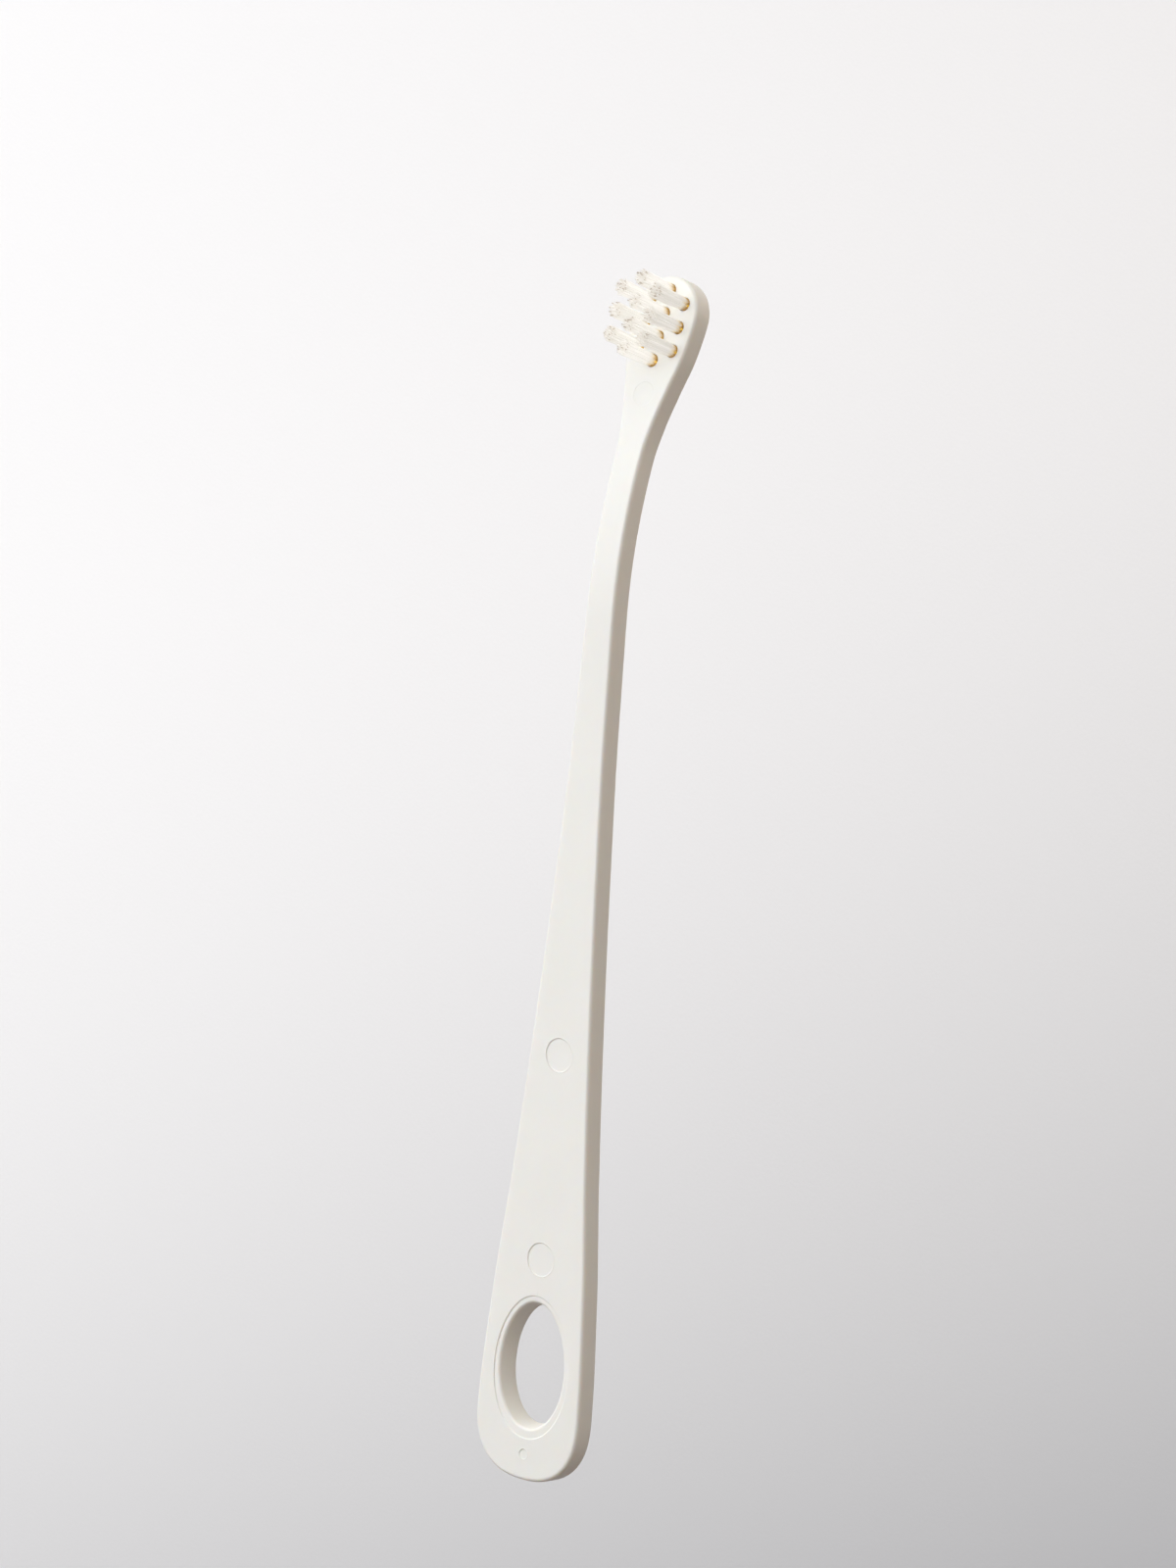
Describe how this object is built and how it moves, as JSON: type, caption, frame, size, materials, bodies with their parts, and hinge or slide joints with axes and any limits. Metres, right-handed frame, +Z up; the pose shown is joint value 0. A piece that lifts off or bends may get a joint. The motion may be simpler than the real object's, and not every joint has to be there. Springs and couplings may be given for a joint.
{
  "type": "dog toothbrush",
  "caption": "Slim cream plastic dog toothbrush with an egg-shaped hanging hole, a narrow neck that bends back and a small round head with tufts of nylon bristle held by brass anchors.",
  "frame": {"origin": "centre of the brush's footprint, on the surface that it lies on", "axes": "+X along the brush from the hanging end to the head, +Z up from the back to the bristles, +Y across the handle"},
  "size_m": [0.1592, 0.0176, 0.0119],
  "materials": {
    "cream_plastic": "smooth moulded, soft sheen",
    "nylon_bristle": "fine clear nylon strands",
    "brass": "bright sheared strip"
  },
  "bodies": {
    "root": {"handle": "cream_plastic", "tuft_middle_1": "nylon_bristle", "tuft_middle_2": "nylon_bristle", "tuft_middle_3": "nylon_bristle", "tuft_middle_4": "nylon_bristle", "tuft_left_1": "nylon_bristle", "tuft_left_2": "nylon_bristle", "tuft_left_3": "nylon_bristle", "tuft_right_1": "nylon_bristle", "tuft_right_2": "nylon_bristle", "tuft_right_3": "nylon_bristle", "anchor_middle_1": "brass", "anchor_middle_2": "brass", "anchor_middle_3": "brass", "anchor_middle_4": "brass", "anchor_left_1": "brass", "anchor_left_2": "brass", "anchor_left_3": "brass", "anchor_right_1": "brass", "anchor_right_2": "brass", "anchor_right_3": "brass"}
  },
  "joints": []
}
